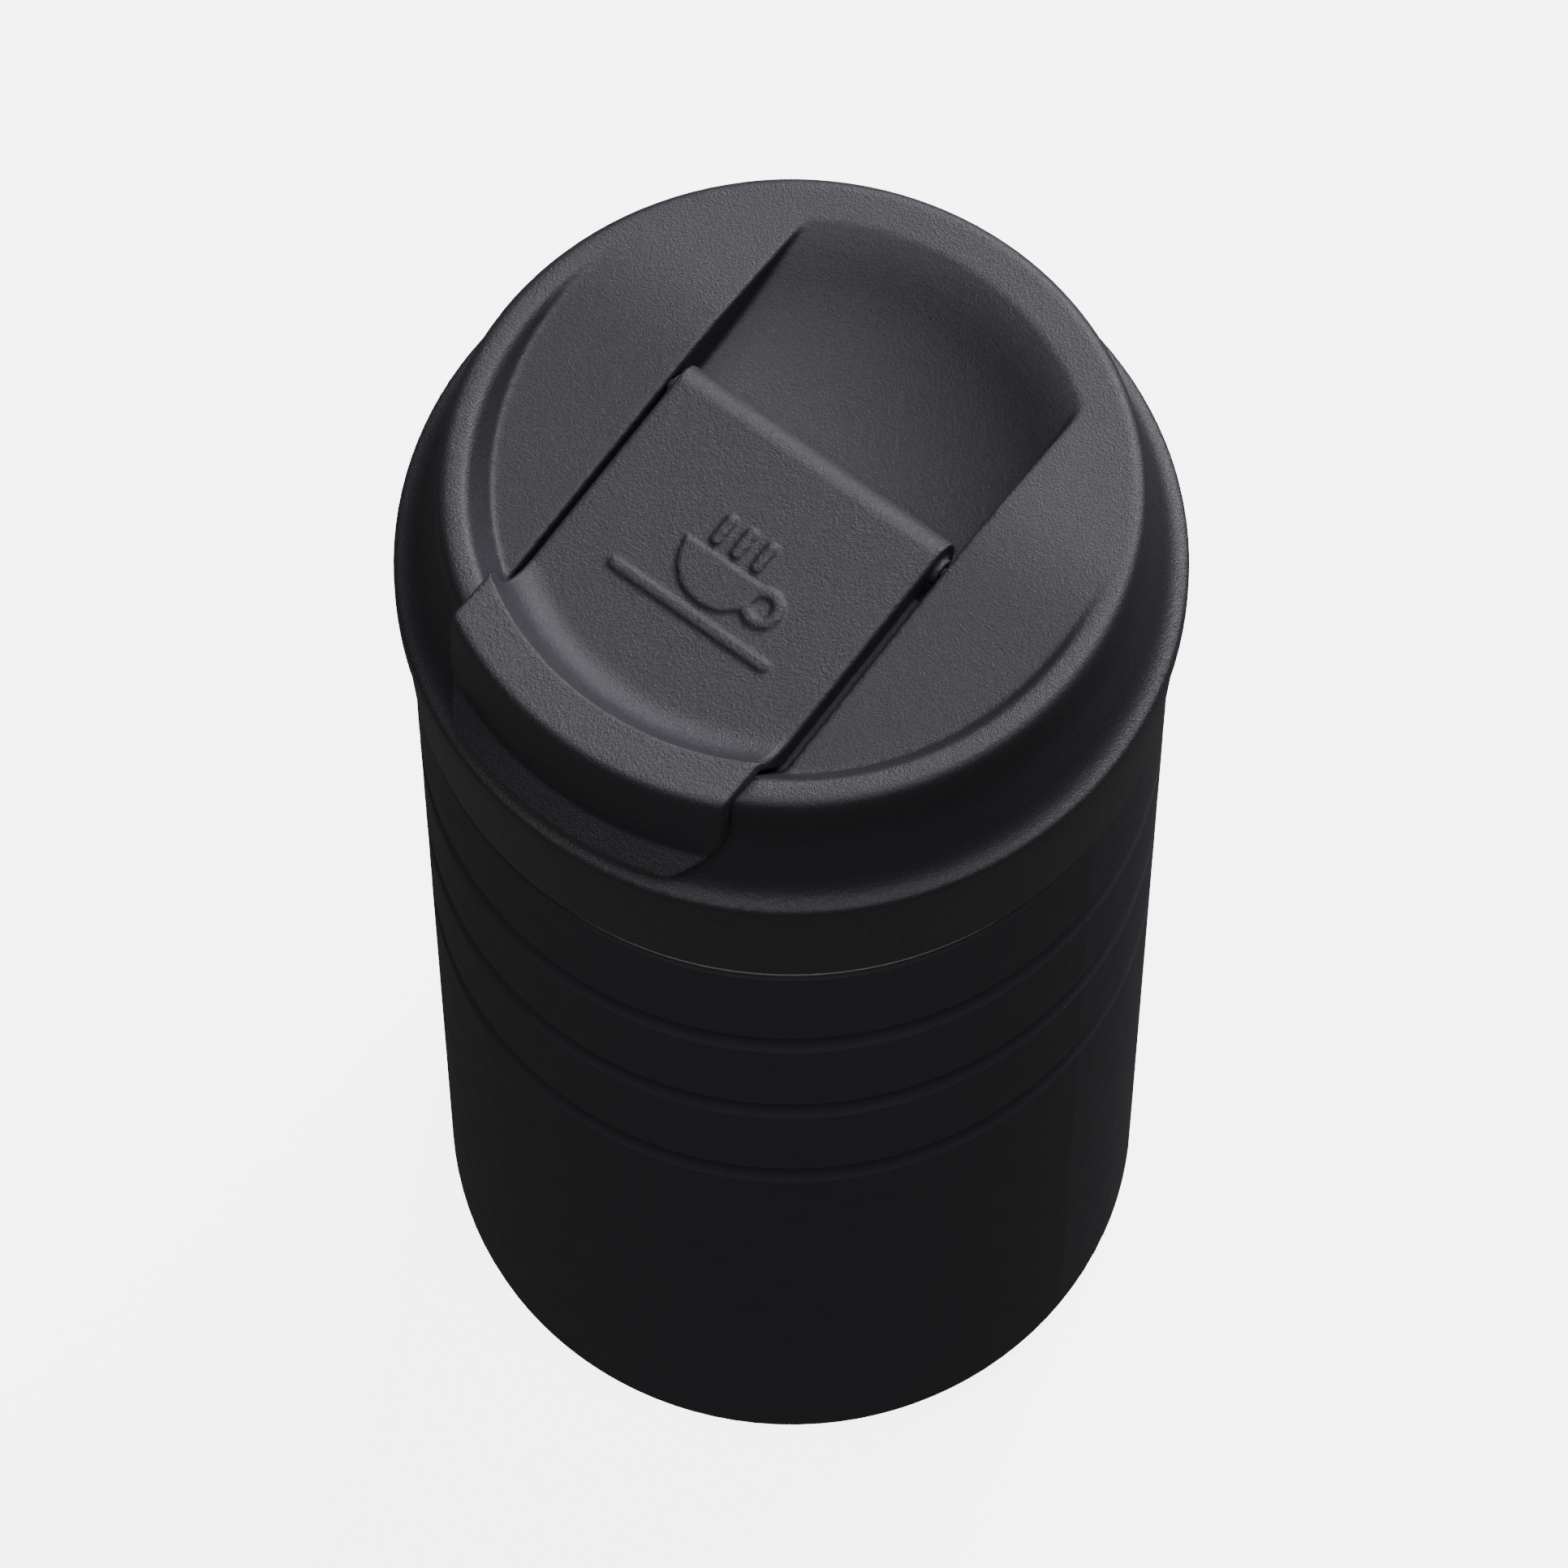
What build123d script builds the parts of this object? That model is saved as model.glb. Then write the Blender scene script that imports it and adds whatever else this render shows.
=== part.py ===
"""Insulated travel mug: a double-walled steel cup with a push-fit lid and a flip-open drinking flap.

Frame: origin on the surface the mug stands on, at the mug's axis. +Z is up, and the drinking edge faces -Y.
All lengths are in millimetres.
"""

import math
import os

from build123d import *

os.makedirs("parts", exist_ok=True)

# ---- Overall ---------------------------------------------------------------------------------------------
mug_r = 42.5  # widest radius, at the flange of the lid
body_height = 130.5  # floor to the steel shoulder under the lid's collar
neck_height = 12.8  # steel neck that the lid covers

# ---- Steel cup -------------------------------------------------------------------------------------------
shell_inset = 1.5  # the steel body is this much narrower than the lid's flange
shell_taper = 0.8
shell_wall = 0.6
shoulder_chamfer = 0.6
base_corner_r = 4.0
neck_inset = 4.0
mouth_width = 2.5  # from the neck's outside to the drinking vessel's inside
vessel_wall = 0.5
vessel_floor_z = 9.0
vessel_corner_r = 6.0

groove_count = 3
groove_pitch = 17.65
groove_first = 17.65  # centre of the top groove below the shoulder
groove_height = 3.9
groove_depth = 0.7

# ---- Base ------------------------------------------------------------------------------------------------
pad_inset = 4.7  # from the base's rounded corner to the pad
pad_thickness = 1.8
pad_chamfer = 0.3
steel_foot_z = 1.0  # clearance of the steel above the floor
weld_land = 2.0  # flange of the base plate that the shell is welded to
dimple_r = 5.0
dimple_depth = 0.9
evacuation_hole_r = 1.0
getter_r = 6.0
getter_height = 2.6
getter_chamfer = 0.5
getter_offset = 15.0

# ---- Lid -------------------------------------------------------------------------------------------------
seat_gap = 0.3  # free gap between lid and cup
shadow_gap = 1.3  # groove between the steel shoulder and the collar
collar_bore_gap = 0.6
collar_flange = 2.5
collar_taper = 0.8
parting_chamfer = 0.4

cap_band = 3.7  # upright band at the foot of the cap
cap_band_round = 0.6
skirt_height = 8.4  # concave part between the band and the rim
skirt_low = (1.7, 0.38)  # point of the skirt: out from the rim, share of the skirt's height
skirt_high = (0.5, 0.78)
skirt_start = (-1, 0.25)  # direction in which the skirt leaves the band
rim_height = 7.2
rim_inset = 4.9
rim_width = 3.3
rim_round = 1.4
rim_inner_round = 1.3
rim_straight = 0.4  # share of the rim's height below which its outside runs into the skirt
wall_draft = 0.6  # the rim's inside wall comes inward this much for each millimetre down
wall = 2.2
cavity_inset = 2.7

deck_slope = 0.15
deck_start_y = 9.0  # the sloping deck meets the rim's height here
deck_bend_r = 70.0  # radius of the soft bend where the deck starts to fall
channel_half = 18.4
recess_inset = 2.1  # from the rim's inside to the rear edge of the recess
recess_depth = 8.6
recess_low = (0.45, 0.84)  # point of the recess: share of its radius, share of its depth
recess_high = (0.8, 0.38)
recess_end = (1, 0.3)  # direction in which the recess meets the rim

plug_clearance = 0.9  # plug to drinking vessel
plug_seat_gap = 0.3
plug_depth = 12.6
plug_wall = 2.7
plug_floor = 2.0
plug_flange = 2.0
plug_flange_width = 2.4
gasket_height = 4.0
gasket_groove = 1.2
gasket_from_bottom = 5.0
gasket_clearance = 0.3

# ---- Flap ------------------------------------------------------------------------------------------------
flap_side_gap = 1.0  # flap to each side wall of the channel
flap_rise = 1.6  # top of the flap above the deck
flap_thickness = 3.4
flap_gap = 0.4
pocket_inset = 0.7  # from the rim's inside to the hollow behind the lip, at the lip's top
pocket_fillet = 4.5
lip_root = 2.2  # how far the lip reaches in past the rim's inside
hinge_y = 2.5
barrel_r = 3.2
barrel_gap = 0.4
boss_r = 1.6
boss_gap = 0.2
pin_r = 0.8
pin_running_gap = 0.05
pin_seat = 2.0  # length of pin held in each side wall

lip_overhang = 0.7  # the lip is this much wider than the flap on each side
lip_gap = 0.3
lip_thickness = 1.8
lip_round = 1.0
leg_gap = 0.6  # flap to the rim's inside wall
tab_gap = 0.4  # flap to the outside of the rim
tab_wall = 1.3
tab_foot = 2.8  # lower edge of the thumb tab above the cap's band
tab_foot_width = 1.9
tab_corner = 7.0
tab_flare = 0.5  # the tab's outside comes out this much down to its ridge
tab_relief = 0.6  # and its inside this much
tab_ridge = 1.6  # ridge above the top of the tab's foot
tab_upright = 1.0  # the tab's inside is upright from this height above the skirt
flap_edge_round = 0.5

port_inset = 11.2  # from the rim's inside to the middle of the port
port_length = 14.0
port_width = 7.0
port_wall = 1.4
tube_flange = 1.2  # flange of each tube on the plug's floor
tube_flange_height = 1.2
gasket_ring = 0.8
vent_y = -8.0
vent_r = 1.0
vent_wall = 1.2
vent_land = 1.0  # flat ceiling left behind the vent's gasket
stopper_margin = 1.2
stopper_base = 0.9
stopper_gap = 0.3
stopper_reach = 1.8  # how far the stopper enters the port
vent_reach = 0.3  # and the small one the vent
stopper_taper = 25.0

emblem_y = -10.5
emblem_height = 0.4
emblem_cup_r = 5.4
emblem_handle_r = 2.3
emblem_handle_drop = 1.9  # centre of the handle below the cup's brim
emblem_saucer = 21.0
emblem_saucer_drop = 1.6
emblem_line = 1.1
steam_count = 3
steam_length = 3.8

# ---- Radii and levels worked out from the sizes above ----------------------------------------------------
shell_top_r = mug_r - shell_inset
shell_bottom_r = shell_top_r - shell_taper
neck_r = mug_r - neck_inset
vessel_r = neck_r - mouth_width
vessel_outer_r = vessel_r + vessel_wall
pad_r = shell_bottom_r - base_corner_r - pad_inset
shell_hole_r = pad_r + weld_land
collar_top_r = mug_r - parting_chamfer
collar_bottom_r = collar_top_r - collar_taper
collar_bore_r = neck_r + collar_bore_gap
rim_outer_r = mug_r - rim_inset
rim_inner_r = rim_outer_r - rim_width
recess_r = rim_inner_r - recess_inset
flap_half = channel_half - flap_side_gap
lip_half = flap_half + lip_overhang
cavity_r = rim_outer_r - cavity_inset
plug_r = vessel_r - plug_clearance
plug_flange_r = plug_r + plug_flange_width
port_y = port_inset - rim_inner_r

mouth_z = body_height + neck_height
collar_bottom_z = body_height + shadow_gap
collar_flange_z = mouth_z + seat_gap
collar_top_z = collar_flange_z + collar_flange
band_top_z = collar_top_z + cap_band
skirt_top_z = band_top_z + skirt_height
rim_straight_z = skirt_top_z + rim_height * rim_straight
rim_z = skirt_top_z + rim_height
lip_under_z = rim_z + lip_gap
lip_z = lip_under_z + lip_thickness
plug_bottom_z = collar_top_z - plug_depth
recess_floor_z = rim_z - recess_depth
slope_angle = math.degrees(math.atan(deck_slope))
channel_offset = flap_rise - flap_thickness - flap_gap
far = 200.0  # larger than the mug
touch = 0.003  # closer than this counts as lying on a plane


def deck_plane(offset, y=deck_start_y):
    """The sloping deck's plane, moved by offset along its normal, with its origin at y."""
    normal = Vector(0, -deck_slope, 1).normalized()
    start = Vector(0, y, rim_z + deck_slope * (y - deck_start_y))
    return Plane(origin=start + normal * offset, x_dir=(1, 0, 0), z_dir=normal)


def wall_r(z, gap=0.0):
    """Radius of the rim's drafted inside wall at height z, less a gap."""
    return rim_inner_r - wall_draft * (rim_z - z) - gap


hinge_centre = deck_plane(flap_rise - barrel_r, hinge_y).origin
hinge_plane = Plane(origin=(0, hinge_centre.Y, hinge_centre.Z), x_dir=(0, 1, 0), z_dir=(1, 0, 0))
well_low_z = deck_plane(channel_offset, -rim_outer_r).origin.Z


def save(piece, name):
    """Labels a finished piece and writes its STEP file."""
    piece.label = name
    export_step(piece, f"parts/{name}.step")


# ---- Steel cup -------------------------------------------------------------------------------------------
def shell_r(z):
    """Outside radius of the tapered steel shell at height z."""
    low = steel_foot_z + base_corner_r
    return shell_bottom_r + (shell_top_r - shell_bottom_r) * (z - low) / (body_height - low)


def shell_outline(inset):
    """The shell's side with its rolled grooves, from the neck down to the base, moved inward by inset."""
    cut = shoulder_chamfer + inset / 2
    above = (shell_top_r - inset, body_height - cut)
    Polyline(
        (neck_r - inset, mouth_z - vessel_wall),
        (neck_r - inset, body_height - inset),
        (shell_top_r - cut, body_height - inset),
        above,
    )
    for number in range(groove_count):
        middle = body_height - groove_first - number * groove_pitch
        top = (shell_r(middle + groove_height / 2) - inset, middle + groove_height / 2)
        deep = (shell_r(middle) - groove_depth - inset, middle)
        bottom = (shell_r(middle - groove_height / 2) - inset, middle - groove_height / 2)
        Line(above, top)
        ThreePointArc(top, deep, bottom)
        above = bottom
    corner = (shell_bottom_r - base_corner_r, steel_foot_z + base_corner_r)
    Line(above, (shell_bottom_r - inset, corner[1]))
    CenterArc(corner, base_corner_r - inset, 0, -90)
    Line((corner[0], steel_foot_z + inset), (shell_hole_r, steel_foot_z + inset))


with BuildPart() as outer_shell:
    with BuildSketch(Plane.XZ):
        with BuildLine():
            shell_outline(0)
            shell_outline(shell_wall)
            Line((neck_r, mouth_z - vessel_wall), (neck_r - shell_wall, mouth_z - vessel_wall))
            Line((shell_hole_r, steel_foot_z), (shell_hole_r, steel_foot_z + shell_wall))
        make_face()
    revolve(axis=Axis.Z)
save(outer_shell.part, "outer_shell")

with BuildPart() as inner_vessel:
    with BuildSketch(Plane.XZ):
        with BuildLine():
            bend = (vessel_r - vessel_corner_r, vessel_floor_z + vessel_corner_r)
            Polyline(
                (vessel_r, bend[1]),
                (vessel_r, mouth_z),
                (neck_r, mouth_z),
                (neck_r, mouth_z - vessel_wall),
                (vessel_outer_r, mouth_z - vessel_wall),
                (vessel_outer_r, bend[1]),
            )
            CenterArc(bend, vessel_corner_r + vessel_wall, 0, -90)
            Polyline(
                (bend[0], vessel_floor_z - vessel_wall),
                (0, vessel_floor_z - vessel_wall),
                (0, vessel_floor_z),
                (bend[0], vessel_floor_z),
            )
            CenterArc(bend, vessel_corner_r, 0, -90)
        make_face()
    revolve(axis=Axis.Z)
save(inner_vessel.part, "inner_vessel")

with BuildPart() as base_plate:
    with BuildSketch(Plane.XZ):
        Polygon(
            (evacuation_hole_r, pad_thickness + dimple_depth),
            (dimple_r, pad_thickness + dimple_depth),
            (dimple_r, pad_thickness),
            (pad_r, pad_thickness),
            (pad_r, steel_foot_z),
            (shell_hole_r, steel_foot_z),
            (shell_hole_r, steel_foot_z + shell_wall),
            (pad_r + shell_wall, steel_foot_z + shell_wall),
            (pad_r + shell_wall, pad_thickness + shell_wall),
            (dimple_r + shell_wall, pad_thickness + shell_wall),
            (dimple_r + shell_wall, pad_thickness + dimple_depth + shell_wall),
            (evacuation_hole_r, pad_thickness + dimple_depth + shell_wall),
            align=None,
        )
    revolve(axis=Axis.Z)
save(base_plate.part, "base_plate")

with BuildPart(Plane.XY.offset(pad_thickness)) as evacuation_seal:
    Cylinder(dimple_r, dimple_depth, align=(Align.CENTER, Align.CENTER, Align.MIN))
save(evacuation_seal.part, "evacuation_seal")

with BuildPart() as base_pad:
    Cylinder(pad_r, pad_thickness, align=(Align.CENTER, Align.CENTER, Align.MIN))
    chamfer(base_pad.edges().sort_by(Axis.Z)[0], pad_chamfer)
save(base_pad.part, "base_pad")

with BuildPart() as vacuum_getter:
    with Locations((getter_offset, 0, vessel_floor_z - vessel_wall)):
        Cylinder(getter_r, getter_height, align=(Align.CENTER, Align.CENTER, Align.MAX))
    chamfer(vacuum_getter.edges().sort_by(Axis.Z)[0], getter_chamfer)
save(vacuum_getter.part, "vacuum_getter")

# ---- Lid: collar and plug --------------------------------------------------------------------------------
with BuildPart() as lid_collar:
    with BuildSketch(Plane.XZ):
        Polygon(
            (collar_bore_r, collar_bottom_z),
            (collar_bottom_r - parting_chamfer, collar_bottom_z),
            (collar_bottom_r, collar_bottom_z + parting_chamfer),
            (collar_top_r, collar_top_z - parting_chamfer),
            (collar_top_r - parting_chamfer, collar_top_z),
            (plug_r + plug_seat_gap, collar_top_z),
            (plug_r + plug_seat_gap, collar_flange_z),
            (collar_bore_r, collar_flange_z),
            align=None,
        )
    revolve(axis=Axis.Z)
save(lid_collar.part, "lid_collar")

gasket_z = plug_bottom_z + gasket_from_bottom


def port_outline(margin, mode=Mode.ADD):
    """The drinking port's outline, larger by margin all round."""
    SlotOverall(port_length + 2 * margin, port_width + 2 * margin, mode=mode)


def vent_outline(margin, mode=Mode.ADD):
    """The vent's outline, larger by margin all round."""
    Circle(vent_r + margin, mode=mode)


with BuildPart() as lid_plug:
    with BuildSketch(Plane.XZ):
        Polygon(
            (0, plug_bottom_z),
            (plug_r, plug_bottom_z),
            (plug_r, gasket_z),
            (plug_r - gasket_groove, gasket_z),
            (plug_r - gasket_groove, gasket_z + gasket_height),
            (plug_r, gasket_z + gasket_height),
            (plug_r, collar_top_z),
            (plug_flange_r, collar_top_z),
            (plug_flange_r, collar_top_z + plug_flange),
            (plug_r - plug_wall, collar_top_z + plug_flange),
            (plug_r - plug_wall, plug_bottom_z + plug_floor),
            (0, plug_bottom_z + plug_floor),
            align=None,
        )
    revolve(axis=Axis.Z)
    # holes for the spout tube and the vent tube
    with BuildSketch(Plane.XY.offset(plug_bottom_z)):
        with Locations((0, port_y)):
            port_outline(port_wall)
        with Locations((0, vent_y)):
            vent_outline(vent_wall)
    extrude(amount=plug_floor, mode=Mode.SUBTRACT)
save(lid_plug.part, "lid_plug")


def rising_tube(y, outline, width):
    """A tube from the plug's floor up to the seal under the cap, with a flange on the floor."""
    with BuildPart() as tube:
        with BuildSketch(Plane.XY.offset(plug_bottom_z)):
            with Locations((0, y)):
                outline(width)
        extrude(amount=far)
        with BuildSketch(deck_plane(channel_offset - wall - gasket_ring)):
            Rectangle(2 * far, 2 * far)
        extrude(amount=far, mode=Mode.SUBTRACT)
        with BuildSketch(Plane.XY.offset(plug_bottom_z + plug_floor)):
            with Locations((0, y)):
                outline(width + tube_flange)
        extrude(amount=tube_flange_height)
        with BuildSketch(Plane.XY.offset(plug_bottom_z)):
            with Locations((0, y)):
                outline(0)
        extrude(amount=far, mode=Mode.SUBTRACT)
    return tube.part


spout_tube = rising_tube(port_y, port_outline, port_wall)
save(spout_tube, "spout_tube")
vent_tube = rising_tube(vent_y, vent_outline, vent_wall)
save(vent_tube, "vent_tube")

with BuildPart() as plug_gasket:
    with BuildSketch(Plane.XZ):
        core = plug_r - gasket_groove
        lip = vessel_r - gasket_clearance
        third = gasket_height / 3
        Polygon(
            (core, gasket_z),
            (plug_r, gasket_z),
            (lip, gasket_z + third / 2),
            (plug_r, gasket_z + third),
            (plug_r, gasket_z + 2 * third),
            (lip, gasket_z + 2 * third + third / 2),
            (plug_r, gasket_z + gasket_height),
            (core, gasket_z + gasket_height),
            align=None,
        )
    revolve(axis=Axis.Z)
save(plug_gasket.part, "plug_gasket")


def seal_ring(y, outline, width):
    """A flat sealing ring under the cap, between its sloping floor and a tube of the plug."""
    with BuildPart() as ring:
        with BuildSketch(Plane.XY.offset(collar_top_z)):
            with Locations((0, y)):
                outline(width)
            with Locations((0, y)):
                outline(0, mode=Mode.SUBTRACT)
        extrude(amount=far)
        with BuildSketch(deck_plane(channel_offset - wall - gasket_ring)):
            Rectangle(far, far)
        extrude(amount=gasket_ring, mode=Mode.INTERSECT)
    return ring.part


port_gasket = seal_ring(port_y, port_outline, port_wall)
save(port_gasket, "port_gasket")
vent_gasket = seal_ring(vent_y, vent_outline, vent_wall)
save(vent_gasket, "vent_gasket")

# ---- Lid: cap --------------------------------------------------------------------------------------------
with BuildPart() as well_space:
    # the space inside the rim's drafted wall
    with BuildSketch(Plane.XZ):
        with BuildLine():
            low = (wall_r(well_low_z), well_low_z)
            high = (wall_r(rim_z), rim_z)
            Polyline((0, well_low_z), low, high)
            Line(high, (high[0], rim_z + wall))
            Polyline((high[0], rim_z + wall), (0, rim_z + wall), (0, well_low_z))
        make_face()
    revolve(axis=Axis.Z)

with BuildPart() as deck_space:
    # flat behind, then a soft bend, then the slope towards the drinking edge
    with BuildSketch(Plane.YZ):
        with BuildLine():
            tangent_length = deck_bend_r * math.tan(math.radians(slope_angle / 2))
            bend_start = (deck_start_y + tangent_length, rim_z)
            bend_end_y = deck_start_y - tangent_length * math.cos(math.radians(slope_angle))
            bend_end = deck_plane(0, bend_end_y).origin
            front = deck_plane(0, -mug_r).origin
            TangentArc(bend_start, (bend_end.Y, bend_end.Z), tangent=(-1, 0))
            Polyline(
                (bend_end.Y, bend_end.Z),
                (front.Y, front.Z),
                (front.Y, rim_z + wall),
                (bend_start[0], rim_z + wall),
                bend_start,
            )
        make_face()
    extrude(amount=mug_r, both=True)
    add(well_space.part, mode=Mode.INTERSECT)

with BuildPart() as channel_space:
    add(well_space.part)
    with BuildSketch(deck_plane(channel_offset)):
        Rectangle(2 * channel_half, far)
    extrude(amount=far, mode=Mode.INTERSECT)
    with Locations((0, hinge_y, rim_z)):
        Box(far, far, far, align=(Align.CENTER, Align.MAX, Align.CENTER), mode=Mode.INTERSECT)

with BuildPart() as recess_space:
    with BuildSketch(Plane.XZ):
        with BuildLine():
            Polyline((recess_r, rim_z), (recess_r, rim_z + wall), (0, rim_z + wall), (0, recess_floor_z))
            Line((0, recess_floor_z), (hinge_y, recess_floor_z))
            Spline(
                (hinge_y, recess_floor_z),
                (recess_r * recess_low[0], rim_z - recess_depth * recess_low[1]),
                (recess_r * recess_high[0], rim_z - recess_depth * recess_high[1]),
                (recess_r, rim_z),
                tangents=((1, 0), recess_end),
            )
        make_face()
    revolve(axis=Axis.Z)
    with Locations((0, hinge_y, rim_z)):
        Box(2 * channel_half, far, far, align=(Align.CENTER, Align.MIN, Align.CENTER), mode=Mode.INTERSECT)

with BuildPart() as cavity_space:
    with BuildSketch(Plane.XY.offset(collar_top_z)):
        Circle(cavity_r)
    extrude(amount=rim_z - collar_top_z)
    with BuildSketch(deck_plane(channel_offset - wall)):
        Rectangle(far, far)
    extrude(amount=far, mode=Mode.SUBTRACT)
    # the recess and the hinge reach lower than the deck does
    with Locations((0, vent_y + vent_r + vent_wall + vent_land, recess_floor_z - wall)):
        Box(far, far, far, align=(Align.CENTER, Align.MIN, Align.MIN), mode=Mode.SUBTRACT)
    # seat for the plug's flange
    with BuildSketch(Plane.XY.offset(collar_top_z)):
        Circle(plug_flange_r)
    extrude(amount=plug_flange)

with BuildPart() as lid_cap:
    with BuildSketch(Plane.XZ):
        with BuildLine():
            Polyline(
                (0, rim_z),
                (0, collar_top_z),
                (mug_r - parting_chamfer, collar_top_z),
                (mug_r, collar_top_z + parting_chamfer),
                (mug_r, band_top_z - cap_band_round),
            )
            CenterArc((mug_r - cap_band_round, band_top_z - cap_band_round), cap_band_round, 0, 90)
            Spline(
                (mug_r - cap_band_round, band_top_z),
                (rim_outer_r + skirt_low[0], band_top_z + skirt_height * skirt_low[1]),
                (rim_outer_r + skirt_high[0], band_top_z + skirt_height * skirt_high[1]),
                (rim_outer_r, rim_straight_z),
                tangents=(skirt_start, (0, 1)),
            )
            Line((rim_outer_r, rim_straight_z), (rim_outer_r, rim_z - rim_round))
            CenterArc((rim_outer_r - rim_round, rim_z - rim_round), rim_round, 0, 90)
            Line((rim_outer_r - rim_round, rim_z), (0, rim_z))
        make_face()
    revolve(axis=Axis.Z)
    add(deck_space.part, mode=Mode.SUBTRACT)
    add(channel_space.part, mode=Mode.SUBTRACT)
    add(recess_space.part, mode=Mode.SUBTRACT)
    add(cavity_space.part, mode=Mode.SUBTRACT)
    rim_edges = lid_cap.edges().filter_by(GeomType.CIRCLE).group_by(Axis.Z)[-1]
    fillet(rim_edges.sort_by(lambda edge: edge.length)[-2], rim_inner_round)
    # room for the flap's hinge barrel
    with BuildSketch(hinge_plane):
        Circle(barrel_r + barrel_gap)
        Rectangle(2 * (barrel_r + barrel_gap), far, align=(Align.CENTER, Align.MIN))
    extrude(amount=channel_half, both=True, mode=Mode.SUBTRACT)
    # seats of the hinge pin
    with BuildSketch(hinge_plane):
        Circle(pin_r)
    extrude(amount=channel_half + pin_seat, both=True, mode=Mode.SUBTRACT)
    # drinking port and vent
    with BuildSketch(Plane.XY.offset(collar_top_z)):
        with Locations((0, port_y)):
            port_outline(0)
        with Locations((0, vent_y)):
            vent_outline(0)
    extrude(amount=far, mode=Mode.SUBTRACT)
save(lid_cap.part, "lid_cap")

with BuildPart() as hinge_pin:
    with BuildSketch(hinge_plane):
        Circle(pin_r)
    extrude(amount=channel_half + pin_seat, both=True)
save(hinge_pin.part, "hinge_pin")

# ---- Flap ------------------------------------------------------------------------------------------------
tab_foot_z = band_top_z + tab_foot
tab_inner_r = rim_outer_r + tab_gap
tab_outer_r = tab_inner_r + tab_wall
tab_tip_r = mug_r - lip_gap
tab_ridge_z = tab_foot_z + tab_foot_width + tab_ridge

with BuildPart() as flap_hook:
    # the lip over the rim with the thumb tab outside it, all concentric with the lid
    with BuildSketch(Plane.XZ):
        with BuildLine():
            Polyline(
                (rim_inner_r - lip_root, lip_z),
                (tab_outer_r - lip_round, lip_z),
            )
            CenterArc((tab_outer_r - lip_round, lip_z - lip_round), lip_round, 0, 90)
            Polyline(
                (tab_outer_r, lip_z - lip_round),
                (tab_outer_r + tab_flare, tab_ridge_z),
                (tab_tip_r, tab_foot_z + tab_foot_width / 2),
                (tab_tip_r, tab_foot_z),
                (tab_tip_r - tab_foot_width, tab_foot_z),
                (tab_inner_r + tab_relief, tab_ridge_z),
                (tab_inner_r, skirt_top_z + tab_upright),
                (tab_inner_r, lip_under_z),
                (rim_inner_r - lip_root, lip_under_z),
                (rim_inner_r - lip_root, lip_z),
            )
        make_face()
    revolve(axis=Axis.Z)
    with BuildSketch(Plane.XZ):
        with Locations((0, tab_foot_z)):
            RectangleRounded(2 * lip_half, far, tab_corner, align=(Align.CENTER, Align.MIN))
    extrude(amount=far, mode=Mode.INTERSECT)

with BuildPart() as pocket_space:
    # the hollow above the flap, rounded at the bottom
    with BuildSketch(Plane.XZ):
        pocket_r = rim_inner_r - pocket_inset
        low_r = pocket_r - wall_draft * (lip_z - well_low_z)
        Polygon((0, well_low_z), (low_r, well_low_z), (pocket_r, lip_z), (0, lip_z), align=None)
    revolve(axis=Axis.Z)
    with BuildSketch(deck_plane(flap_rise)):
        Rectangle(far, far)
    extrude(amount=far, mode=Mode.INTERSECT)
    fillet(pocket_space.edges().sort_by(Axis.Z)[0], pocket_fillet)

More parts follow.
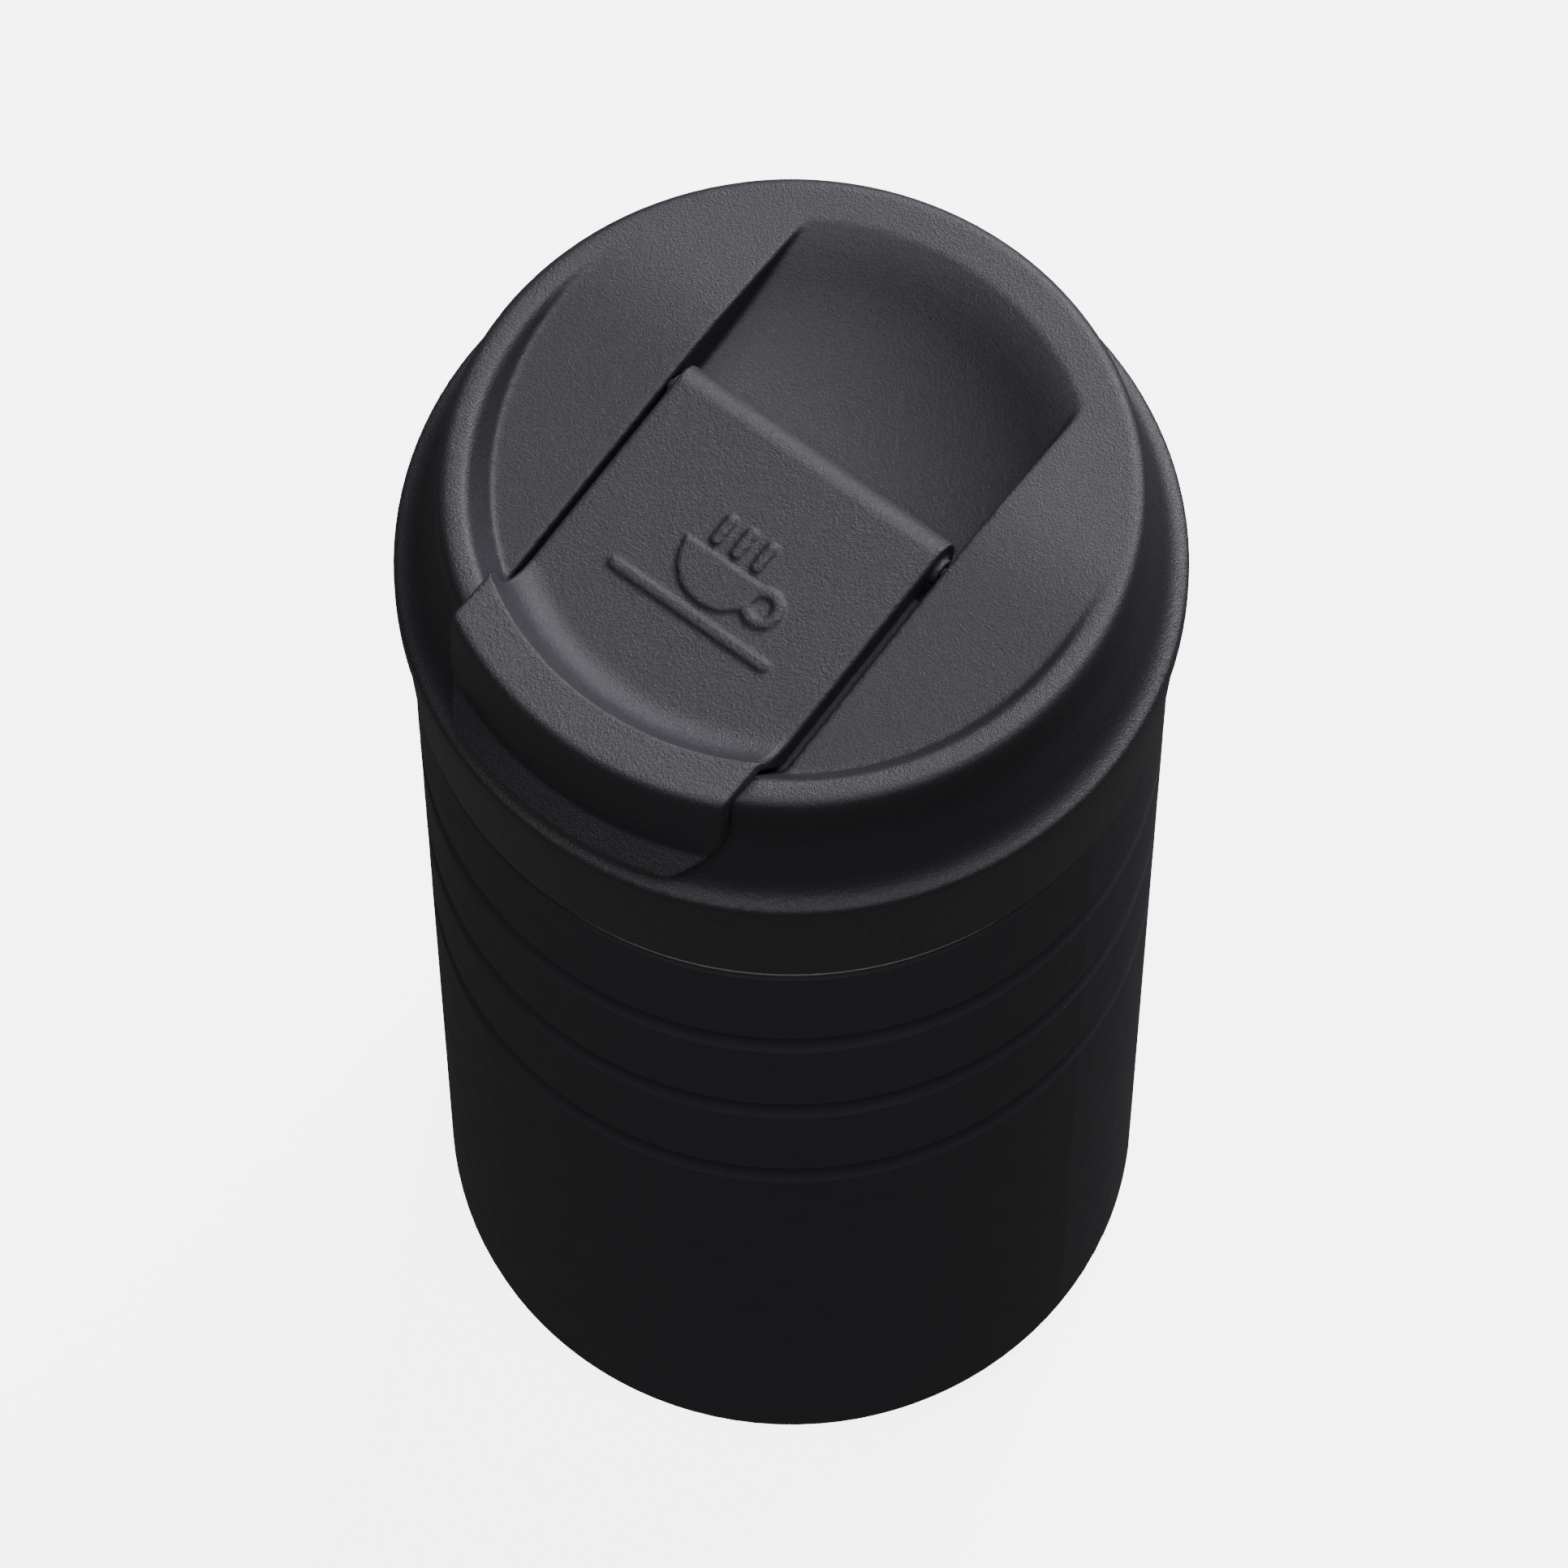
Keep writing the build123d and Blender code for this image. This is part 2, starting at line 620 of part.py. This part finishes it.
with BuildPart() as flip_cap:
    with BuildSketch(Plane.XZ):
        with BuildLine():
            Polyline(
                (0, well_low_z),
                (wall_r(well_low_z, leg_gap), well_low_z),
                (wall_r(rim_z, leg_gap), rim_z),
                (wall_r(rim_z, leg_gap), lip_z),
                (0, lip_z),
                (0, well_low_z),
            )
        make_face()
    revolve(axis=Axis.Z)
    with BuildSketch(deck_plane(flap_rise - flap_thickness)):
        Rectangle(2 * flap_half, far)
    extrude(amount=far, mode=Mode.INTERSECT)
    with Locations((0, hinge_centre.Y, rim_z)):
        Box(far, far, far, align=(Align.CENTER, Align.MAX, Align.CENTER), mode=Mode.INTERSECT)
    add(flap_hook.part)
    add(pocket_space.part, mode=Mode.SUBTRACT)
    with BuildSketch(hinge_plane):
        Circle(barrel_r)
    extrude(amount=flap_half, both=True)
    above_floor = flip_cap.edges().filter_by(lambda edge: edge.center().Z > tab_ridge_z)
    plate_sides = above_floor.filter_by(lambda edge: abs(abs(edge.center().X) - flap_half) < touch)
    long_sides = plate_sides.filter_by(GeomType.LINE).filter_by(lambda edge: edge.length > flap_half)
    fillet(long_sides.group_by(Axis.Z)[-1], flap_edge_round)
    outer_edges = flip_cap.edges().filter_by(lambda edge: edge.center().Y < -rim_inner_r)
    lip_ends = outer_edges.filter_by(lambda edge: abs(abs(edge.center().X) - lip_half) < touch)
    fillet(lip_ends.group_by(Axis.Y)[0], flap_edge_round)
    with BuildSketch(hinge_plane):
        Circle(boss_r)
    extrude(amount=channel_half - boss_gap, both=True)
    with BuildSketch(hinge_plane):
        Circle(pin_r + pin_running_gap)
    extrude(amount=channel_half, both=True, mode=Mode.SUBTRACT)
    # seats of the two stoppers
    with BuildSketch(deck_plane(flap_rise - flap_thickness, port_y)):
        port_outline(stopper_margin)
    extrude(amount=stopper_base, mode=Mode.SUBTRACT)
    with BuildSketch(deck_plane(flap_rise - flap_thickness, vent_y)):
        vent_outline(stopper_margin)
    extrude(amount=stopper_base, mode=Mode.SUBTRACT)
    # raised emblem: a cup on a saucer, with steam
    with BuildSketch(deck_plane(flap_rise, emblem_y)):
        Circle(emblem_cup_r)
        with Locations((0, emblem_cup_r)):
            Rectangle(4 * emblem_cup_r, 2 * emblem_cup_r, mode=Mode.SUBTRACT)
        with Locations((emblem_cup_r + emblem_line / 2, -emblem_handle_drop)):
            Circle(emblem_handle_r)
            Circle(emblem_handle_r - emblem_line, mode=Mode.SUBTRACT)
        with Locations((0, -emblem_cup_r - emblem_saucer_drop)):
            SlotOverall(emblem_saucer, emblem_line)
        with GridLocations(emblem_cup_r / 2, 0, steam_count, 1), Locations((0, emblem_cup_r / 2)):
            SlotOverall(steam_length, emblem_line, rotation=90)
    extrude(amount=emblem_height)
save(flip_cap.part, "flip_cap")


def stopper(y, outline, reach):
    """A soft stopper set in the flap's underside, tapered where it enters the hole below."""
    with BuildPart() as plug:
        with BuildSketch(deck_plane(flap_rise - flap_thickness, y)):
            outline(stopper_margin)
        extrude(amount=stopper_base)
        with BuildSketch(deck_plane(flap_rise - flap_thickness, y)):
            outline(-stopper_gap)
        extrude(amount=-(flap_gap + reach), taper=stopper_taper)
    return plug.part


port_stopper = stopper(port_y, port_outline, stopper_reach)
save(port_stopper, "port_stopper")
vent_stopper = stopper(vent_y, vent_outline, vent_reach)
save(vent_stopper, "vent_stopper")
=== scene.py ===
"""Looks of the insulated travel mug: matt black coated steel cup, moulded black lid with a grained flap."""

import math

import bpy
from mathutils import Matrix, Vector

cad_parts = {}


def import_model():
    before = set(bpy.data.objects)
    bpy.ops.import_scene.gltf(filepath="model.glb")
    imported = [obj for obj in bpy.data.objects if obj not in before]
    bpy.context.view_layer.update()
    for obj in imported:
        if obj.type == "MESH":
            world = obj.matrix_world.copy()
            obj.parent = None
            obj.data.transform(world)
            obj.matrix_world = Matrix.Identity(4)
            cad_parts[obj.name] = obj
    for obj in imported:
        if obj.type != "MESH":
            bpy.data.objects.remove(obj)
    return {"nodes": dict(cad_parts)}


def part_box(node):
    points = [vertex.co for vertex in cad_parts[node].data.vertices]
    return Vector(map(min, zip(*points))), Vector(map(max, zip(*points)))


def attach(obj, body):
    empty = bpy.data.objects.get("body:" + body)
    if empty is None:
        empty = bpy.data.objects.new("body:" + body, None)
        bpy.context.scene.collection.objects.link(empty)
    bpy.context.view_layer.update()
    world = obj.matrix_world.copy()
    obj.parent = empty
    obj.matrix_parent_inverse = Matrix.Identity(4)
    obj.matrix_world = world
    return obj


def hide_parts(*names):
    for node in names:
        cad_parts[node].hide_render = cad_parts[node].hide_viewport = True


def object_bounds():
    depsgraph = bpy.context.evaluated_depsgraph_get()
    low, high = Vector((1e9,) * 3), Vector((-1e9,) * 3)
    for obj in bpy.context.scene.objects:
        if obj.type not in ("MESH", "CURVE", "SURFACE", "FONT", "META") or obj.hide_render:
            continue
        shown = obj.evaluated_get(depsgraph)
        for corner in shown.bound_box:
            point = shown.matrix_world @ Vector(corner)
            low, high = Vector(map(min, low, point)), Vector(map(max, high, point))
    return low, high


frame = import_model()
cad_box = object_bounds()

MM = 0.001

# ---- Camera ----------------------------------------------------------------------------------------------
VIEW_AZIMUTH = math.radians(38.0)  # the drinking edge points to the lower left
VIEW_ELEVATION = math.radians(63.0)
VIEW_PITCH = math.radians(64.2)
VIEW_DISTANCE = 1.173
LENS = 252.4
SENSOR = 36.0
SHIFT_X = -0.0047
CLIP_END = 20.0

# ---- Light -----------------------------------------------------------------------------------------------
FLOOR_HALF = 3.0
FLOOR_COLOR = (0.93, 0.93, 0.93)
FLOOR_GLOW = 5.0  # the white sweep is lit from below, as for a catalogue picture
FLOOR_DROP = 0.2 * MM
WORLD_STRENGTH = 0.115
LIGHT_COLOR = (0.95, 0.93, 1.0)
LIGHTS = (
    # name, metres behind the mug, to its right and up, size, power
    ("back_box", 1.35, 0.8, 1.35, (1.1, 0.5), 57),
    ("top_box", -0.55, 0.0, 1.7, (1.2, 0.7), 17),
    ("right_box", 0.9, 1.2, 1.0, (0.5, 0.8), 8),
)

# ---- Moulded edges ---------------------------------------------------------------------------------------
CAP_VOXEL = 0.3 * MM  # the cap's edges are rounded at about this size
FLAP_VOXEL = 0.22 * MM
WELD = 0.002 * MM
SMOOTHING = 6
SMOOTH_FACTOR = 0.5
KEPT_FACES = 0.32

CAP_BAND = 3.7 * MM
SHADOW_GAP = 1.3 * MM  # between the collar and the steel shoulder
COAT_EDGE = 0.2 * MM  # the black coat ends this far below the shoulder

shoulder_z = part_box("lid_cap")[0].z + CAP_BAND
coat_end_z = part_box("lid_collar")[0].z - SHADOW_GAP - COAT_EDGE


# ---- Material building blocks ----------------------------------------------------------------------------
class Recipe:
    """A Principled material whose node tree is put together with short calls."""

    def __init__(self, name, color, roughness, metallic=0.0, specular=0.5):
        self.material = bpy.data.materials.new(name)
        self.material.use_nodes = True
        self.nodes = self.material.node_tree.nodes
        self.links = self.material.node_tree.links
        self.shader = self.nodes["Principled BSDF"]
        self.shader.inputs["Base Color"].default_value = (*color, 1.0)
        self.shader.inputs["Roughness"].default_value = roughness
        self.shader.inputs["Metallic"].default_value = metallic
        self.shader.inputs["Specular IOR Level"].default_value = specular
        self.place = self.nodes.new("ShaderNodeTexCoord").outputs["Object"]
        self.bumped = None

    def add(self, kind, **settings):
        node = self.nodes.new(kind)
        for key, value in settings.items():
            setattr(node, key, value)
        return node

    def scaled(self, scale):
        """Object coordinates in metres, times scale along each axis."""
        node = self.add("ShaderNodeMapping")
        node.inputs["Scale"].default_value = scale
        self.links.new(self.place, node.inputs["Vector"])
        return node.outputs["Vector"]

    def noise(self, size, detail=3.0, roughness=0.55, stretch=(1, 1, 1)):
        """Noise with features of about size metres."""
        node = self.add("ShaderNodeTexNoise")
        node.inputs["Scale"].default_value = 1.0
        node.inputs["Detail"].default_value = detail
        node.inputs["Roughness"].default_value = roughness
        node.inputs["Distortion"].default_value = 0.0
        self.links.new(self.scaled([factor / size for factor in stretch]), node.inputs["Vector"])
        return node.outputs["Fac"]

    def cells(self, size):
        """Cells of about size metres: the distance from each cell's middle."""
        node = self.add("ShaderNodeTexVoronoi", feature="F1")
        node.inputs["Scale"].default_value = 1.0
        node.inputs["Randomness"].default_value = 1.0
        self.links.new(self.scaled([1 / size] * 3), node.inputs["Vector"])
        return node.outputs["Distance"]

    def ramp(self, value, stops):
        """Maps value through (position, grey or colour) stops."""
        node = self.add("ShaderNodeValToRGB")
        elements = node.color_ramp.elements
        while len(elements) < len(stops):
            elements.new(0.5)
        for element, (position, shade) in zip(elements, stops):
            element.position = position
            color = shade if isinstance(shade, tuple) else (shade, shade, shade)
            element.color = (*color, 1.0)
        self.links.new(value, node.inputs["Fac"])
        return node.outputs["Color"]

    def mix(self, factor, first, second):
        """Colour mix of two colours or colour sockets."""
        node = self.add("ShaderNodeMix", data_type="RGBA")
        color_inputs = [socket for socket in node.inputs if socket.type == "RGBA"]
        for socket, value in zip([node.inputs["Factor"], *color_inputs], (factor, first, second)):
            if isinstance(value, bpy.types.NodeSocket):
                self.links.new(value, socket)
            elif isinstance(value, (int, float)):
                socket.default_value = value
            else:
                socket.default_value = (*value, 1.0)
        return [socket for socket in node.outputs if socket.type == "RGBA"][0]

    def edges(self, start, end):
        """White along each sharp convex edge: a painted highlight."""
        pointiness = self.add("ShaderNodeNewGeometry").outputs["Pointiness"]
        return self.ramp(pointiness, [(start, 0.0), (end, 1.0)])

    def above(self, height):
        """White above a height of the object, in metres, and black below it."""
        split = self.add("ShaderNodeSeparateXYZ")
        self.links.new(self.place, split.inputs["Vector"])
        test = self.add("ShaderNodeMath", operation="GREATER_THAN")
        self.links.new(split.outputs["Z"], test.inputs[0])
        test.inputs[1].default_value = height
        return test.outputs["Value"]

    def color(self, socket):
        self.links.new(socket, self.shader.inputs["Base Color"])

    def metallic(self, socket):
        self.links.new(socket, self.shader.inputs["Metallic"])

    def roughness(self, socket):
        self.links.new(socket, self.shader.inputs["Roughness"])

    def bump(self, height, strength, distance):
        """Adds a bump of the given depth in metres on top of those already there."""
        node = self.add("ShaderNodeBump")
        node.inputs["Strength"].default_value = strength
        node.inputs["Distance"].default_value = distance
        self.links.new(height, node.inputs["Height"])
        if self.bumped:
            self.links.new(self.bumped, node.inputs["Normal"])
        self.bumped = node.outputs["Normal"]
        self.links.new(self.bumped, self.shader.inputs["Normal"])


def shaded(color, factor):
    """A colour made lighter or darker."""
    return tuple(factor * part for part in color)


BARE_STEEL = (0.55, 0.55, 0.54)


# ---- Materials -------------------------------------------------------------------------------------------
def black_coat():
    """Powder coat with a very fine orange peel. Above the shoulder the neck is bare brushed steel."""
    color = (0.0300, 0.0300, 0.0350)
    recipe = Recipe("black_coat", color, 0.5, specular=0.2)
    cloud = recipe.noise(0.05, detail=2.0)
    base = recipe.ramp(cloud, [(0.3, shaded(color, 0.96)), (0.7, shaded(color, 1.04))])
    flecks = recipe.ramp(recipe.noise(0.0004, detail=2.0), [(0.62, 0.0), (0.75, 0.15)])
    coat = recipe.mix(flecks, base, shaded(color, 3.0))
    uncoated = recipe.above(coat_end_z - frame["nodes"]["outer_shell"].matrix_world.translation.z)
    brushed = recipe.noise(0.0006, detail=4.0, stretch=(1, 1, 8))
    steel_color = recipe.ramp(brushed, [(0.3, shaded(BARE_STEEL, 0.85)), (0.7, BARE_STEEL)])
    recipe.color(recipe.mix(uncoated, coat, steel_color))
    recipe.metallic(uncoated)
    coat_roughness = recipe.ramp(recipe.noise(0.004, detail=4.0), [(0.3, 0.48), (0.7, 0.54)])
    steel_roughness = recipe.ramp(brushed, [(0.3, 0.28), (0.7, 0.42)])
    recipe.roughness(recipe.mix(uncoated, coat_roughness, steel_roughness))
    recipe.bump(recipe.noise(0.0007, detail=3.0), 0.4, 0.00004)
    recipe.bump(recipe.noise(0.00028, detail=2.0), 0.5, 0.00002)
    return recipe.material


def moulded(name, color, grain_size, depth, roughness, specular):
    """Black plastic from a spark-eroded mould: a fine grain, soft clouds and a painted highlight along each
    sharp convex edge.
    """
    recipe = Recipe(name, color, roughness, specular=specular)
    clouds = [(0.3, shaded(color, 0.92)), (0.7, shaded(color, 1.08))]
    cloud = recipe.ramp(recipe.noise(0.02, detail=3.0), clouds)
    grain = recipe.noise(grain_size, detail=4.0, roughness=0.65)
    lifted = recipe.ramp(grain, [(0.35, 0.0), (0.7, 0.6)])
    speckled = recipe.mix(lifted, cloud, shaded(color, 2.0))
    # painted highlight: the colour is 1.6 times lighter along sharp convex edges
    recipe.color(recipe.mix(recipe.edges(0.54, 0.66), speckled, shaded(color, 1.6)))
    recipe.roughness(recipe.ramp(grain, [(0.3, roughness + 0.07), (0.7, roughness - 0.07)]))
    recipe.bump(grain, 1.0, depth)
    recipe.bump(recipe.noise(grain_size * 0.5, detail=2.0), 0.8, depth * 0.5)
    return recipe


def black_plastic():
    return moulded("black_plastic", (0.0135, 0.0131, 0.0162), 0.00032, 0.00008, 0.45, 0.5).material


def grain_plastic():
    """The flap: a fine leather grain, a little coarser than the lid's."""
    recipe = moulded("grain_plastic", (0.0150, 0.0146, 0.0180), 0.00030, 0.0001, 0.44, 0.5)
    creases = recipe.cells(0.00045)
    recipe.bump(recipe.ramp(creases, [(0.1, 1.0), (0.75, 0.0)]), 0.5, 0.00005)
    return recipe.material


def steel(name, color, roughness, stretch):
    """Stainless steel with brush lines, which run across the stretched axis."""
    recipe = Recipe(name, color, roughness, metallic=1.0)
    lines = recipe.noise(0.0006, detail=4.0, stretch=stretch)
    recipe.color(recipe.ramp(lines, [(0.3, shaded(color, 0.85)), (0.7, color)]))
    recipe.roughness(recipe.ramp(lines, [(0.3, roughness - 0.07), (0.7, roughness + 0.1)]))
    recipe.bump(lines, 0.3, 0.00002)
    return recipe.material


def silicone():
    color = (0.02, 0.02, 0.021)
    recipe = Recipe("silicone", color, 0.55, specular=0.35)
    smudge = recipe.noise(0.008, detail=4.0)
    recipe.color(recipe.ramp(smudge, [(0.3, shaded(color, 0.75)), (0.7, shaded(color, 1.3))]))
    recipe.roughness(recipe.ramp(smudge, [(0.3, 0.48), (0.7, 0.66)]))
    recipe.bump(recipe.noise(0.0004, detail=2.0), 0.4, 0.00002)
    return recipe.material


def sintered():
    recipe = Recipe("sintered", (0.3, 0.3, 0.29), 0.7, metallic=0.6)
    grit = recipe.noise(0.0004, detail=4.0)
    recipe.color(recipe.ramp(grit, [(0.3, (0.16, 0.16, 0.155)), (0.7, (0.4, 0.4, 0.39))]))
    recipe.roughness(recipe.ramp(grit, [(0.3, 0.8), (0.7, 0.6)]))
    recipe.bump(grit, 0.8, 0.00008)
    return recipe.material


def dress(names, material):
    """Gives CAD nodes a material."""
    for name in names:
        piece = frame["nodes"][name]
        piece.data.materials.clear()
        piece.data.materials.append(material)


# ---- Moulded pieces --------------------------------------------------------------------------------------
def moulded_copy(node, body, material, voxel):
    """Stands for a CAD node with every edge and corner softly rounded, as it leaves the mould."""
    source = frame["nodes"][node]
    mesh = source.data.copy()
    piece = bpy.data.objects.new(node + "_moulded", mesh)
    bpy.context.collection.objects.link(piece)
    mesh.materials.clear()
    mesh.materials.append(material)
    weld = piece.modifiers.new("weld", "WELD")
    weld.merge_threshold = WELD
    remesh = piece.modifiers.new("remesh", "REMESH")
    remesh.mode = "VOXEL"
    remesh.voxel_size = voxel
    smooth = piece.modifiers.new("smooth", "SMOOTH")
    smooth.factor = SMOOTH_FACTOR
    smooth.iterations = SMOOTHING
    decimate = piece.modifiers.new("decimate", "DECIMATE")
    decimate.ratio = KEPT_FACES
    graph = bpy.context.evaluated_depsgraph_get()
    final = bpy.data.meshes.new_from_object(piece.evaluated_get(graph))
    piece.modifiers.clear()
    piece.data = final
    final.shade_smooth()
    final.materials.clear()
    final.materials.append(material)
    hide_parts(node)
    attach(piece, body)


plastic = black_plastic()
grained = grain_plastic()
dress(["outer_shell"], black_coat())
dress(["lid_cap", "lid_collar", "lid_plug", "spout_tube", "vent_tube"], plastic)
dress(["flip_cap"], grained)
dress(["inner_vessel"], steel("brushed_interior", (0.62, 0.62, 0.60), 0.3, (1, 1, 8)))
dress(["base_plate", "evacuation_seal"], steel("bare_steel", BARE_STEEL, 0.32, (8, 1, 1)))
# the hinge pin is steel, but its near-black colour is painted shade, so its end in the gap by the hinge
# shows no bright reflection
dress(["hinge_pin"], steel("pin_steel_painted_shade", (0.05, 0.05, 0.05), 0.55, (1, 8, 8)))
dress(["base_pad", "plug_gasket", "port_gasket", "vent_gasket", "port_stopper", "vent_stopper"], silicone())
dress(["vacuum_getter"], sintered())
moulded_copy("lid_cap", "lid", plastic, CAP_VOXEL)
moulded_copy("flip_cap", "flap", grained, FLAP_VOXEL)


# ---- Floor, light and camera -----------------------------------------------------------------------------
def floor():
    bpy.ops.mesh.primitive_plane_add(size=2 * FLOOR_HALF, location=(0, 0, cad_box[0].z - FLOOR_DROP))
    plane = bpy.context.object
    plane.name = "floor"
    paper = Recipe("floor_paper", FLOOR_COLOR, 0.9, specular=0.05)
    shade = [(0.3, shaded(FLOOR_COLOR, 0.99)), (0.7, FLOOR_COLOR)]
    paper.color(paper.ramp(paper.noise(0.3, detail=2.0), shade))
    paper.shader.inputs["Emission Color"].default_value = (1.0, 1.0, 1.0, 1.0)
    paper.shader.inputs["Emission Strength"].default_value = FLOOR_GLOW
    plane.data.materials.append(paper.material)
    # the glowing floor neither lights the mug nor shows in its reflections
    plane.visible_diffuse = False
    plane.visible_glossy = False


def area_light(name, place, size, power):
    """A soft box aimed at the lid's shoulder."""
    light = bpy.data.lights.new(name, "AREA")
    light.shape = "RECTANGLE"
    light.size, light.size_y = size
    light.energy = power
    light.color = LIGHT_COLOR
    lamp = bpy.data.objects.new(name, light)
    bpy.context.collection.objects.link(lamp)
    lamp.location = place
    aim = Vector((0, 0, shoulder_z)) - lamp.location
    lamp.rotation_euler = aim.to_track_quat("-Z", "Y").to_euler()


def world():
    sky = bpy.data.worlds.new("studio")
    sky.use_nodes = True
    background = sky.node_tree.nodes["Background"]
    background.inputs["Color"].default_value = (1.0, 1.0, 1.0, 1.0)
    background.inputs["Strength"].default_value = WORLD_STRENGTH
    bpy.context.scene.world = sky


def camera():
    eye = bpy.data.cameras.new("camera")
    eye.lens = LENS
    eye.sensor_width = SENSOR
    eye.shift_x = SHIFT_X
    eye.clip_end = CLIP_END
    holder = bpy.data.objects.new("camera", eye)
    bpy.context.collection.objects.link(holder)
    across = Vector((math.sin(VIEW_AZIMUTH), -math.cos(VIEW_AZIMUTH), 0))
    up = Vector((0, 0, 1))
    reach = across * math.cos(VIEW_ELEVATION) + up * math.sin(VIEW_ELEVATION)
    holder.location = up * shoulder_z + reach * VIEW_DISTANCE
    look = -across * math.cos(VIEW_PITCH) - up * math.sin(VIEW_PITCH)
    holder.rotation_euler = look.to_track_quat("-Z", "Y").to_euler()
    bpy.context.scene.camera = holder


floor()
world()
back = Vector((-math.sin(VIEW_AZIMUTH), math.cos(VIEW_AZIMUTH), 0))
right = Vector((math.cos(VIEW_AZIMUTH), math.sin(VIEW_AZIMUTH), 0))
for name, behind, aside, height, size, power in LIGHTS:
    area_light(name, back * behind + right * aside + Vector((0, 0, height)), size, power)
camera()
